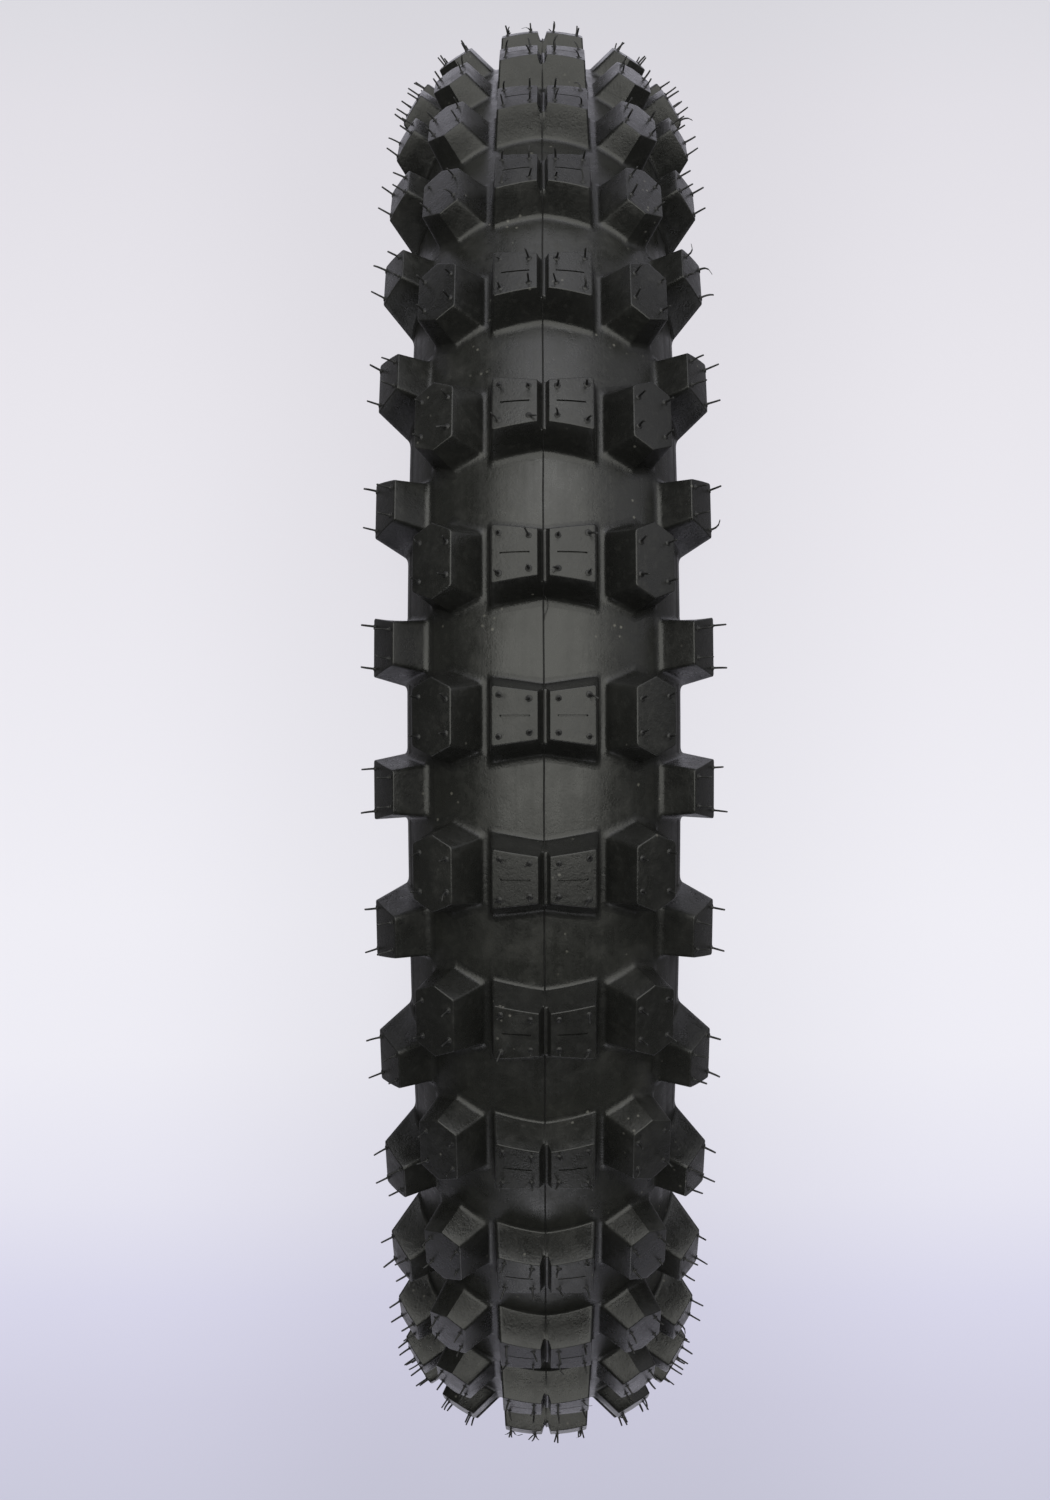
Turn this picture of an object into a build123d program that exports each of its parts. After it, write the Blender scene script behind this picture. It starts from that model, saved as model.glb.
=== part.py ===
"""Knobbly off-road motorcycle tire, 110/90-19 class: tread knobs, casing, beads and moulding details.

Millimetres. The wheel centre is the origin, the axle runs along +Y and the ground is towards -Z.
Knobs are modelled on the +X axis; the first tread row then sits at the top, on +Z.
"""

import os
from math import cos, degrees, radians, sin

from build123d import *

os.makedirs("parts", exist_ok=True)

# ---- driving dimensions -------------------------------------------------------------------------
ROWS = 38                    # tread rows round the tire
PITCH = 360.0 / ROWS         # degrees from one row to the next
FIRST_ROW = 90.0             # degrees from +X up to +Z
OUTER_RADIUS = 340.0         # crown of the centre knobs
TOP_ARC = 75.0               # section radius of the knob tops
CROWN_ARC = 60.0             # section radius of the tread floor
CROWN_CENTRE = 267.0         # height of the tread floor arc centre above the axle
CROWN_HALF_ANGLE = 30.0      # where the crown arc hands over to the shoulder arc
SHOULDER_ARC = 40.0          # section radius of the shoulder
FLANK_ARC = 30.7             # section radius of the lower sidewall
FLANK_END = 60.0             # degrees below the widest point where the flank arc stops
PLY_END = 40.0               # degrees below the widest point where the plies leave the flank arc
TREAD_EDGE = 62.0            # section angle where tread rubber meets sidewall rubber
BREAKER_EDGE = 50.0          # section angle where the breaker strip ends

TREAD_RUBBER = 3.5           # depth of each layer below the outside surface
BREAKER_DEPTH = 4.7
OUTER_PLY_DEPTH = 5.8
INNER_PLY_DEPTH = 6.9
LINER_DEPTH = 8.0

BEAD_SEAT = 241.3            # 19 inch rim seat radius
BEAD_HEEL = 27.3             # half of a 2.15 inch rim
HEEL_ROUND = 2.0
BEAD_TOE = 15.1
FLANGE_TOP = 252.2           # where the chafer ends against the rim flange
CHAFER = 1.2
PLY = 1.0
CORE_WIDTH = 5.8
CORE_HEIGHT = 6.4
WIRE_RADIUS = 0.5
WIRES_ACROSS = 4
WIRES_UP = 4
WIRE_PITCH = 1.35

EDGE_BREAK = 0.5             # small bevel round the knob tops
DRAFT = 8.0                  # mould draft of the knob walls

VENT_LENGTH = 4.5
EDGE_VENT_LENGTH = 5.5       # the ones on the shoulder knobs are longer
VENT_RADIUS = 0.35

# ---- section geometry ---------------------------------------------------------------------------
SHOULDER_Y = (CROWN_ARC - SHOULDER_ARC) * sin(radians(CROWN_HALF_ANGLE))
SHOULDER_Z = CROWN_CENTRE + (CROWN_ARC - SHOULDER_ARC) * cos(radians(CROWN_HALF_ANGLE))
WIDEST = SHOULDER_Y + SHOULDER_ARC
FLANK_Y = WIDEST - FLANK_ARC
TOP_CENTRE = OUTER_RADIUS - TOP_ARC


def crown(depth, angle, side=1):
    """A point on the tread floor arc, that deep below the surface, at an angle from the crown."""
    reach = CROWN_ARC - depth
    return (side * reach * sin(radians(angle)), CROWN_CENTRE + reach * cos(radians(angle)))


def shoulder(depth, angle, side=1):
    """A point on the shoulder arc; 90 degrees is the widest part of the tire."""
    reach = SHOULDER_ARC - depth
    return (
        side * (SHOULDER_Y + reach * sin(radians(angle))),
        SHOULDER_Z + reach * cos(radians(angle)),
    )


def flank(depth, angle, side=1):
    """A point on the lower sidewall arc, at an angle below the widest part."""
    reach = FLANK_ARC - depth
    return (
        side * (FLANK_Y + reach * cos(radians(angle))),
        SHOULDER_Z - reach * sin(radians(angle)),
    )


def mirrored(points, side):
    """Section points moved to the left or right half of the tire."""
    return [(side * y, z) for y, z in points]


def round_tire(shape, first=0.0, count=ROWS):
    """The same piece once in every tread row, starting from the top of the tire."""
    return [shape.rotate(Axis.Y, -(FIRST_ROW + first + i * PITCH)) for i in range(count)]


# bead corner points of the right half, seen in section
OUTER_TURN = [(29.4, 254.7), (BEAD_HEEL, FLANGE_TOP)]
OUTER_PLY_OUT = [(30.2, 257.6), (26.1, 252.6), (26.1, BEAD_SEAT + CHAFER)]
OUTER_PLY_IN = [(25.1, BEAD_SEAT + CHAFER), (25.1, 253.1), (29.3, 258.2)]
CORE_OUT = 24.1
CORE_IN = CORE_OUT - CORE_WIDTH
CORE_BOTTOM = BEAD_SEAT + CHAFER + PLY
CORE_TOP = CORE_BOTTOM + CORE_HEIGHT
TURN_UP_END = (28.5, 258.85)
TURN_UP_BEND = (CORE_OUT, 253.5)
INNER_PLY_KNEE = (CORE_IN, 251.1)
LINER_KNEE = (CORE_IN - PLY, 251.5)
CAVITY_KNEE = (CORE_IN - 2 * PLY, 252.0)

# ---- trimming volumes, not exported ---------------------------------------------------------------
HUB_SPACE = 200.0            # trimming volumes reach down to this radius

with BuildPart() as casing_volume:
    with BuildSketch(Plane.YZ):
        with BuildLine():
            ThreePointArc(
                crown(0, CROWN_HALF_ANGLE, -1), crown(0, 0), crown(0, CROWN_HALF_ANGLE)
            )
            ThreePointArc(
                crown(0, CROWN_HALF_ANGLE), shoulder(0, TREAD_EDGE), shoulder(0, 90)
            )
            ThreePointArc(flank(0, 0), flank(0, FLANK_END / 2), flank(0, FLANK_END))
            Polyline(
                flank(0, FLANK_END),
                (BEAD_TOE, HUB_SPACE),
                (-BEAD_TOE, HUB_SPACE),
                flank(0, FLANK_END, -1),
            )
            ThreePointArc(
                flank(0, FLANK_END, -1), flank(0, FLANK_END / 2, -1), flank(0, 0, -1)
            )
            ThreePointArc(
                shoulder(0, 90, -1), shoulder(0, TREAD_EDGE, -1), crown(0, CROWN_HALF_ANGLE, -1)
            )
        make_face()
    revolve(axis=Axis.Y, revolution_arc=360)

TOP_REACH = 52.0
TOP_DROP = TOP_CENTRE + (TOP_ARC**2 - TOP_REACH**2) ** 0.5

with BuildPart() as knob_top_volume:
    with BuildSketch(Plane.YZ):
        with BuildLine():
            ThreePointArc((-TOP_REACH, TOP_DROP), (0, OUTER_RADIUS), (TOP_REACH, TOP_DROP))
            Polyline(
                (TOP_REACH, TOP_DROP),
                (TOP_REACH, HUB_SPACE),
                (-TOP_REACH, HUB_SPACE),
                (-TOP_REACH, TOP_DROP),
            )
        make_face()
    revolve(axis=Axis.Y, revolution_arc=360)

# ---- centre knobs -----------------------------------------------------------------------------------
CENTRE_HALF_WIDTH = 17.9
CENTRE_OUTER_HALF = 10.3     # half length round the tire at the outer ends
CENTRE_WAIST_HALF = 8.1
WAIST_Y = 2.15
SLOT_WIDTH = 4.2             # across the slot at the knob top
SLOT_FLOOR = 1.9             # across the bottom of the slot
SLOT_DEPTH = 3.6
SIPE_WIDTH = 0.5
SIPE_LENGTH = 10.0
SIPE_DEPTH = 0.9
SIPE_Y = 10.0
KNOB_REACH = 22.0            # knobs are extruded this far, then trimmed on the tread floor
KNOB_ABOVE = 4.0

with BuildPart() as centre_knob:
    with BuildSketch(Plane((OUTER_RADIUS, 0, 0), x_dir=(0, 1, 0), z_dir=(1, 0, 0))):
        Polygon(
            (-CENTRE_HALF_WIDTH, -CENTRE_OUTER_HALF),
            (-WAIST_Y, -CENTRE_WAIST_HALF),
            (WAIST_Y, -CENTRE_WAIST_HALF),
            (CENTRE_HALF_WIDTH, -CENTRE_OUTER_HALF),
            (CENTRE_HALF_WIDTH, CENTRE_OUTER_HALF),
            (WAIST_Y, CENTRE_WAIST_HALF),
            (-WAIST_Y, CENTRE_WAIST_HALF),
            (-CENTRE_HALF_WIDTH, CENTRE_OUTER_HALF),
            align=None,
        )
    extrude(amount=-KNOB_REACH, taper=-DRAFT)
    add(knob_top_volume.part, mode=Mode.INTERSECT)
    chamfer(faces().sort_by(Axis.X)[-1].edges(), EDGE_BREAK)
    with BuildSketch(Plane.XY):
        Polygon(
            (OUTER_RADIUS - SLOT_DEPTH, -SLOT_FLOOR / 2),
            (OUTER_RADIUS + SLOT_DEPTH, SLOT_FLOOR / 2 - SLOT_WIDTH),
            (OUTER_RADIUS + SLOT_DEPTH, SLOT_WIDTH - SLOT_FLOOR / 2),
            (OUTER_RADIUS - SLOT_DEPTH, SLOT_FLOOR / 2),
            align=None,
        )
    extrude(amount=CENTRE_OUTER_HALF + KNOB_ABOVE, both=True, mode=Mode.SUBTRACT)
    for side in (-1, 1):
        with Locations((OUTER_RADIUS - SIPE_DEPTH, side * SIPE_Y, 0)):
            Box(2 * SIPE_DEPTH, SIPE_LENGTH, SIPE_WIDTH, mode=Mode.SUBTRACT)
    add(casing_volume.part, mode=Mode.SUBTRACT)

with BuildPart() as centre_knobs:
    add(round_tire(centre_knob.part))
centre_knobs.part.label = "centre_knobs"
export_step(centre_knobs.part, "parts/centre_knobs.step")

# ---- intermediate knobs -------------------------------------------------------------------------------
MID_Y = 38.8
MID_Z = 329.9
MID_TILT = 30.9              # degrees the knob leans outwards
MID_INNER = -7.6             # hexagon edges, measured across the tire from the apex line
MID_OUTER = 8.7
MID_INNER_HALF = 10.1
MID_APEX_HALF = 13.7
MID_OUTER_HALF = 10.0


def mid_plane(side):
    """The working plane on top of an intermediate knob."""
    lean = radians(MID_TILT)
    return Plane(
        (MID_Z, side * MID_Y, 0),
        x_dir=(-sin(lean), side * cos(lean), 0),
        z_dir=(cos(lean), side * sin(lean), 0),
    )


MID_SIDES = []
for side in (-1, 1):
    with BuildPart() as mid_knob:
        with BuildSketch(mid_plane(side).offset(KNOB_ABOVE)):
            Polygon(
                (MID_INNER, -MID_INNER_HALF),
                (0, -MID_APEX_HALF),
                (MID_OUTER, -MID_OUTER_HALF),
                (MID_OUTER, MID_OUTER_HALF),
                (0, MID_APEX_HALF),
                (MID_INNER, MID_INNER_HALF),
                align=None,
            )
        extrude(amount=-KNOB_REACH - KNOB_ABOVE, taper=-DRAFT)
        add(knob_top_volume.part, mode=Mode.INTERSECT)
        lean_axis = Axis((0, 0, 0), mid_plane(side).z_dir)
        chamfer(faces().sort_by(lean_axis)[-1].edges(), EDGE_BREAK)
        add(casing_volume.part, mode=Mode.SUBTRACT)
    MID_SIDES.append(mid_knob.part)

with BuildPart() as intermediate_knobs_right:
    add(round_tire(MID_SIDES[1]))
intermediate_knobs_right.part.label = "intermediate_knobs_right"
export_step(intermediate_knobs_right.part, "parts/intermediate_knobs_right.step")

with BuildPart() as intermediate_knobs_left:
    add(round_tire(MID_SIDES[0]))
intermediate_knobs_left.part.label = "intermediate_knobs_left"
export_step(intermediate_knobs_left.part, "parts/intermediate_knobs_left.step")

# ---- shoulder knobs -------------------------------------------------------------------------------------
EDGE_IN_Y = 52.8             # inner edge of the knob face
EDGE_IN_Z = 317.3
EDGE_OUT_Y = 60.6            # outer edge of the knob face
EDGE_OUT_Z = 305.3
FOOT_IN_Y = 39.7             # where the inner wall reaches the tread floor
FOOT_IN_Z = 311.1
FOOT_OUT_Y = 50.6            # where the outer wall dies out on the sidewall
FOOT_OUT_Z = 284.0
EDGE_IN_HALF = 7.7
EDGE_KINK = 17.5             # past the outer edge the knob keeps one width
EDGE_KINK_HALF = 11.4
EDGE_TILT = 57.0
EDGE_SKIRT = 24.0
EDGE_REACH = 24.0
OVERRUN = 1.25               # the section profile runs past the knob face by this factor
BURIED = 12.0                # how far the section profile dips below the surface before trimming


def edge_plane(side):
    """The working plane on the face of a shoulder knob, origin on its inner edge."""
    lean = radians(EDGE_TILT)
    return Plane(
        (EDGE_IN_Z, side * EDGE_IN_Y, 0),
        x_dir=(-sin(lean), side * cos(lean), 0),
        z_dir=(cos(lean), side * sin(lean), 0),
    )


def past(start, end):
    """A point on the line from start to end, carried on a little beyond its end."""
    return (
        start[0] + OVERRUN * (end[0] - start[0]),
        start[1] + OVERRUN * (end[1] - start[1]),
    )


def section_plane(offset):
    """Across the tire at the +X axis: first coordinate is Y, second is distance from the axle."""
    return Plane((0, 0, offset), x_dir=(0, 1, 0), z_dir=(0, 0, -1))


EDGE_SIDES = []
for side in (-1, 1):
    with BuildPart() as edge_knob:
        with BuildSketch(edge_plane(side)):
            Polygon(
                (-KNOB_ABOVE, -EDGE_IN_HALF + 0.8),
                (EDGE_KINK, -EDGE_KINK_HALF),
                (EDGE_KINK + EDGE_SKIRT, -EDGE_KINK_HALF),
                (EDGE_KINK + EDGE_SKIRT, EDGE_KINK_HALF),
                (EDGE_KINK, EDGE_KINK_HALF),
                (-KNOB_ABOVE, EDGE_IN_HALF - 0.8),
                align=None,
            )
        extrude(amount=-EDGE_REACH, taper=-DRAFT)
        with BuildSketch(section_plane(-2 * EDGE_REACH)):
            Polygon(
                *mirrored(
                    [
                        past((FOOT_IN_Y, FOOT_IN_Z), (EDGE_IN_Y, EDGE_IN_Z)),
                        past((FOOT_OUT_Y, FOOT_OUT_Z), (EDGE_OUT_Y, EDGE_OUT_Z)),
                        (FOOT_OUT_Y, FOOT_OUT_Z),
                        (FOOT_OUT_Y - BURIED, FOOT_OUT_Z),
                        (FOOT_IN_Y - 1.0, FOOT_IN_Z - BURIED),
                        (FOOT_IN_Y, FOOT_IN_Z),
                    ],
                    side,
                ),
                align=None,
            )
        extrude(amount=-4 * EDGE_REACH, mode=Mode.INTERSECT)
        lean_axis = Axis((0, 0, 0), edge_plane(side).z_dir)
        chamfer(faces().sort_by(lean_axis)[-1].edges(), EDGE_BREAK)
        add(casing_volume.part, mode=Mode.SUBTRACT)
    EDGE_SIDES.append(edge_knob.part)

with BuildPart() as shoulder_knobs_right:
    add(round_tire(EDGE_SIDES[1], PITCH / 2))
shoulder_knobs_right.part.label = "shoulder_knobs_right"
export_step(shoulder_knobs_right.part, "parts/shoulder_knobs_right.step")

with BuildPart() as shoulder_knobs_left:
    add(round_tire(EDGE_SIDES[0], PITCH / 2))
shoulder_knobs_left.part.label = "shoulder_knobs_left"
export_step(shoulder_knobs_left.part, "parts/shoulder_knobs_left.step")

# ---- crown layers ---------------------------------------------------------------------------------------
with BuildPart() as tread_base:
    with BuildSketch(Plane.YZ):
        with BuildLine():
            ThreePointArc(
                crown(0, CROWN_HALF_ANGLE, -1), crown(0, 0), crown(0, CROWN_HALF_ANGLE)
            )
            ThreePointArc(
                crown(0, CROWN_HALF_ANGLE), shoulder(0, 45), shoulder(0, TREAD_EDGE)
            )
            Line(shoulder(0, TREAD_EDGE), shoulder(TREAD_RUBBER, TREAD_EDGE))
            ThreePointArc(
                shoulder(TREAD_RUBBER, TREAD_EDGE),
                shoulder(TREAD_RUBBER, 45),
                crown(TREAD_RUBBER, CROWN_HALF_ANGLE),
            )
            ThreePointArc(
                crown(TREAD_RUBBER, CROWN_HALF_ANGLE),
                crown(TREAD_RUBBER, 0),
                crown(TREAD_RUBBER, CROWN_HALF_ANGLE, -1),
            )
            ThreePointArc(
                crown(TREAD_RUBBER, CROWN_HALF_ANGLE, -1),
                shoulder(TREAD_RUBBER, 45, -1),
                shoulder(TREAD_RUBBER, TREAD_EDGE, -1),
            )
            Line(shoulder(TREAD_RUBBER, TREAD_EDGE, -1), shoulder(0, TREAD_EDGE, -1))
            ThreePointArc(
                shoulder(0, TREAD_EDGE, -1), shoulder(0, 45, -1), crown(0, CROWN_HALF_ANGLE, -1)
            )
        make_face()
    revolve(axis=Axis.Y, revolution_arc=360)
tread_base.part.label = "tread_base"
export_step(tread_base.part, "parts/tread_base.step")

with BuildPart() as crown_breaker:
    with BuildSketch(Plane.YZ):
        with BuildLine():
            ThreePointArc(
                crown(TREAD_RUBBER, CROWN_HALF_ANGLE, -1),
                crown(TREAD_RUBBER, 0),
                crown(TREAD_RUBBER, CROWN_HALF_ANGLE),
            )
            ThreePointArc(
                crown(TREAD_RUBBER, CROWN_HALF_ANGLE),
                shoulder(TREAD_RUBBER, 40),
                shoulder(TREAD_RUBBER, BREAKER_EDGE),
            )
            Line(shoulder(TREAD_RUBBER, BREAKER_EDGE), shoulder(BREAKER_DEPTH, BREAKER_EDGE))
            ThreePointArc(
                shoulder(BREAKER_DEPTH, BREAKER_EDGE),
                shoulder(BREAKER_DEPTH, 40),
                crown(BREAKER_DEPTH, CROWN_HALF_ANGLE),
            )
            ThreePointArc(
                crown(BREAKER_DEPTH, CROWN_HALF_ANGLE),
                crown(BREAKER_DEPTH, 0),
                crown(BREAKER_DEPTH, CROWN_HALF_ANGLE, -1),
            )
            ThreePointArc(
                crown(BREAKER_DEPTH, CROWN_HALF_ANGLE, -1),
                shoulder(BREAKER_DEPTH, 40, -1),
                shoulder(BREAKER_DEPTH, BREAKER_EDGE, -1),
            )
            Line(
                shoulder(BREAKER_DEPTH, BREAKER_EDGE, -1),
                shoulder(TREAD_RUBBER, BREAKER_EDGE, -1),
            )
            ThreePointArc(
                shoulder(TREAD_RUBBER, BREAKER_EDGE, -1),
                shoulder(TREAD_RUBBER, 40, -1),
                crown(TREAD_RUBBER, CROWN_HALF_ANGLE, -1),
            )
        make_face()
    revolve(axis=Axis.Y, revolution_arc=360)
crown_breaker.part.label = "crown_breaker"
export_step(crown_breaker.part, "parts/crown_breaker.step")


def body_arcs(depth):
    """The arcs of one layer surface, from the left flank over the crown to the right flank."""
    ThreePointArc(flank(depth, PLY_END, -1), flank(depth, 20, -1), flank(depth, 0, -1))
    ThreePointArc(
        flank(depth, 0, -1), shoulder(depth, TREAD_EDGE, -1), crown(depth, CROWN_HALF_ANGLE, -1)
    )
    ThreePointArc(
        crown(depth, CROWN_HALF_ANGLE, -1), crown(depth, 0), crown(depth, CROWN_HALF_ANGLE)
    )
    ThreePointArc(crown(depth, CROWN_HALF_ANGLE), shoulder(depth, TREAD_EDGE), flank(depth, 0))
    ThreePointArc(flank(depth, 0), flank(depth, 20), flank(depth, PLY_END))


# ---- carcass ----------------------------------------------------------------------------------------------
with BuildPart() as carcass_ply_outer:
    with BuildSketch(Plane.YZ):
        with BuildLine():
            body_arcs(BREAKER_DEPTH)
            Polyline(flank(BREAKER_DEPTH, PLY_END), *OUTER_PLY_OUT, *OUTER_PLY_IN,
                     flank(OUTER_PLY_DEPTH, PLY_END))
            body_arcs(OUTER_PLY_DEPTH)
            Polyline(flank(BREAKER_DEPTH, PLY_END, -1), *mirrored(OUTER_PLY_OUT, -1),
                     *mirrored(OUTER_PLY_IN, -1), flank(OUTER_PLY_DEPTH, PLY_END, -1))
        make_face()
    revolve(axis=Axis.Y, revolution_arc=360)
carcass_ply_outer.part.label = "carcass_ply_outer"
export_step(carcass_ply_outer.part, "parts/carcass_ply_outer.step")

INNER_PLY_BEAD = [
    INNER_PLY_KNEE,
    (CORE_IN, CORE_BOTTOM),
    (CORE_OUT, CORE_BOTTOM),
    TURN_UP_BEND,
    TURN_UP_END,
    OUTER_PLY_IN[2],
    OUTER_PLY_IN[1],
    OUTER_PLY_IN[0],
    (CORE_IN - PLY, BEAD_SEAT + CHAFER),
    LINER_KNEE,
]

with BuildPart() as carcass_ply_inner:
    with BuildSketch(Plane.YZ):
        with BuildLine():
            body_arcs(OUTER_PLY_DEPTH)
            Polyline(flank(OUTER_PLY_DEPTH, PLY_END), *INNER_PLY_BEAD,
                     flank(INNER_PLY_DEPTH, PLY_END))
            body_arcs(INNER_PLY_DEPTH)
            Polyline(flank(OUTER_PLY_DEPTH, PLY_END, -1), *mirrored(INNER_PLY_BEAD, -1),
                     flank(INNER_PLY_DEPTH, PLY_END, -1))
        make_face()
    revolve(axis=Axis.Y, revolution_arc=360)
carcass_ply_inner.part.label = "carcass_ply_inner"
export_step(carcass_ply_inner.part, "parts/carcass_ply_inner.step")

LINER_BEAD = [
    LINER_KNEE,
    (CORE_IN - PLY, BEAD_SEAT + CHAFER),
    (CORE_IN - 2 * PLY, BEAD_SEAT + CHAFER),
    CAVITY_KNEE,
]

with BuildPart() as inner_liner:
    with BuildSketch(Plane.YZ):
        with BuildLine():
            body_arcs(INNER_PLY_DEPTH)
            Polyline(flank(INNER_PLY_DEPTH, PLY_END), *LINER_BEAD, flank(LINER_DEPTH, PLY_END))
            body_arcs(LINER_DEPTH)
            Polyline(flank(INNER_PLY_DEPTH, PLY_END, -1), *mirrored(LINER_BEAD, -1),
                     flank(LINER_DEPTH, PLY_END, -1))
        make_face()
    revolve(axis=Axis.Y, revolution_arc=360)
inner_liner.part.label = "inner_liner"
export_step(inner_liner.part, "parts/inner_liner.step")

# ---- sidewalls and beads, one side at a time ----------------------------------------------------------------
RIB_START = 48.0             # the rim line stands on a flat band of the flank, in degrees of its arc
RIB_STOP = 54.0
RIB_SLOPE = 1.5
RIB_HEIGHT = 0.9
WRAP_Y = CORE_IN + CORE_WIDTH / 2
WRAP_Z = CORE_BOTTOM + CORE_HEIGHT / 2

for side, hand in ((1, "right"), (-1, "left")):
    with BuildPart() as sidewall:
        with BuildSketch(Plane.YZ):
            with BuildLine():
                ThreePointArc(
                    shoulder(0, TREAD_EDGE, side), shoulder(0, 76, side), flank(0, 0, side)
                )
                ThreePointArc(
                    flank(0, 0, side), flank(0, RIB_START / 2, side), flank(0, RIB_START, side)
                )
                Line(flank(0, RIB_START, side), flank(0, RIB_STOP, side))
                ThreePointArc(
                    flank(0, RIB_STOP, side),
                    flank(0, (RIB_STOP + FLANK_END) / 2, side),
                    flank(0, FLANK_END, side),
                )
                Polyline(
                    flank(0, FLANK_END, side),
                    *mirrored(OUTER_TURN, side),
                    *mirrored([OUTER_PLY_OUT[1], OUTER_PLY_OUT[0]], side),
                    flank(BREAKER_DEPTH, PLY_END, side),
                )
                ThreePointArc(
                    flank(BREAKER_DEPTH, PLY_END, side),
                    flank(BREAKER_DEPTH, 20, side),
                    flank(BREAKER_DEPTH, 0, side),
                )
                ThreePointArc(
                    flank(BREAKER_DEPTH, 0, side),
                    shoulder(BREAKER_DEPTH, 70, side),
                    shoulder(BREAKER_DEPTH, BREAKER_EDGE, side),
                )
                Line(
                    shoulder(BREAKER_DEPTH, BREAKER_EDGE, side),
                    shoulder(TREAD_RUBBER, BREAKER_EDGE, side),
                )
                ThreePointArc(
                    shoulder(TREAD_RUBBER, BREAKER_EDGE, side),
                    shoulder(TREAD_RUBBER, 56, side),
                    shoulder(TREAD_RUBBER, TREAD_EDGE, side),
                )
                Line(shoulder(TREAD_RUBBER, TREAD_EDGE, side), shoulder(0, TREAD_EDGE, side))
            make_face()
        revolve(axis=Axis.Y, revolution_arc=360)
    sidewall.part.label = "sidewall_" + hand
    export_step(sidewall.part, "parts/sidewall_" + hand + ".step")

    with BuildPart() as rim_line:
        with BuildSketch(Plane.YZ):
            Polygon(
                flank(0, RIB_START, side),
                flank(0, RIB_STOP, side),
                flank(-RIB_HEIGHT, RIB_STOP - RIB_SLOPE, side),
                flank(-RIB_HEIGHT, RIB_START + RIB_SLOPE, side),
                align=None,
            )
        revolve(axis=Axis.Y, revolution_arc=360)
    rim_line.part.label = "rim_line_" + hand
    export_step(rim_line.part, "parts/rim_line_" + hand + ".step")

    with BuildPart() as chafer:
        with BuildSketch(Plane.YZ):
            with BuildLine():
                heel = HEEL_ROUND * (1 - cos(radians(45)))
                Line(
                    (side * BEAD_HEEL, FLANGE_TOP), (side * BEAD_HEEL, BEAD_SEAT + HEEL_ROUND)
                )
                ThreePointArc(
                    (side * BEAD_HEEL, BEAD_SEAT + HEEL_ROUND),
                    (side * (BEAD_HEEL - heel), BEAD_SEAT + heel),
                    (side * (BEAD_HEEL - HEEL_ROUND), BEAD_SEAT),
                )
                Polyline(
                    (side * (BEAD_HEEL - HEEL_ROUND), BEAD_SEAT),
                    (side * (BEAD_TOE + 1.0), BEAD_SEAT),
                    (side * BEAD_TOE, BEAD_SEAT + 1.0),
                    (side * BEAD_TOE, 249.0),
                    (side * CAVITY_KNEE[0], 250.0),
                    (side * CAVITY_KNEE[0], BEAD_SEAT + CHAFER),
                    (side * OUTER_PLY_OUT[2][0], BEAD_SEAT + CHAFER),
                    (side * OUTER_PLY_OUT[1][0], OUTER_PLY_OUT[1][1]),
                    (side * BEAD_HEEL, FLANGE_TOP),
                )
            make_face()
        revolve(axis=Axis.Y, revolution_arc=360)
    chafer.part.label = "chafer_" + hand
    export_step(chafer.part, "parts/chafer_" + hand + ".step")

    with BuildPart() as bead_filler:
        with BuildSketch(Plane.YZ):
            Polygon(
                *mirrored(
                    [
                        flank(OUTER_PLY_DEPTH, PLY_END),
                        OUTER_PLY_IN[2],
                        TURN_UP_END,
                        TURN_UP_BEND,
                        (CORE_OUT, CORE_TOP),
                        (CORE_IN, CORE_TOP),
                        INNER_PLY_KNEE,
                    ],
                    side,
                ),
                align=None,
            )
        revolve(axis=Axis.Y, revolution_arc=360)
    bead_filler.part.label = "bead_filler_" + hand
    export_step(bead_filler.part, "parts/bead_filler_" + hand + ".step")

    with BuildPart() as bead_wires:
        with BuildSketch(Plane.YZ):
            with Locations((side * WRAP_Y, WRAP_Z)):
                with GridLocations(WIRE_PITCH, WIRE_PITCH, WIRES_ACROSS, WIRES_UP):
                    Circle(WIRE_RADIUS)
        revolve(axis=Axis.Y, revolution_arc=360)
    bead_wires.part.label = "bead_wires_" + hand
    export_step(bead_wires.part, "parts/bead_wires_" + hand + ".step")

    with BuildPart() as bead_wrap:
        with BuildSketch(Plane.YZ):
            with Locations((side * WRAP_Y, WRAP_Z)):
                Rectangle(CORE_WIDTH, CORE_HEIGHT)
                with GridLocations(WIRE_PITCH, WIRE_PITCH, WIRES_ACROSS, WIRES_UP):
                    Circle(WIRE_RADIUS, mode=Mode.SUBTRACT)
        revolve(axis=Axis.Y, revolution_arc=360)
    bead_wrap.part.label = "bead_wrap_" + hand
    export_step(bead_wrap.part, "parts/bead_wrap_" + hand + ".step")

# ---- mould parting line on the tread floor, between the centre knobs --------------------------------------------
SEAM_HALF = 0.3
SEAM_TIP = 0.1               # half the width of its top
SEAM_HEIGHT = 0.7
SEAM_START = 2.0             # degrees past the middle of a knob
SEAM_ARC = PITCH - 2 * SEAM_START
SEAM_TOP = CROWN_CENTRE + CROWN_ARC + SEAM_HEIGHT
SEAM_FOOT_ANGLE = degrees(SEAM_HALF / CROWN_ARC)

with BuildPart() as seam_piece:
    with BuildSketch(Plane((0, 0, 0), x_dir=(0, 1, 0), z_dir=(0, 0, -1))):
        with BuildLine():
            ThreePointArc(crown(0, SEAM_FOOT_ANGLE, -1), crown(0, 0), crown(0, SEAM_FOOT_ANGLE))
            Polyline(
                crown(0, SEAM_FOOT_ANGLE),
                (SEAM_TIP, SEAM_TOP),
                (-SEAM_TIP, SEAM_TOP),
                crown(0, SEAM_FOOT_ANGLE, -1),
            )
        make_face()
    revolve(axis=Axis.Y, revolution_arc=SEAM_ARC)

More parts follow.
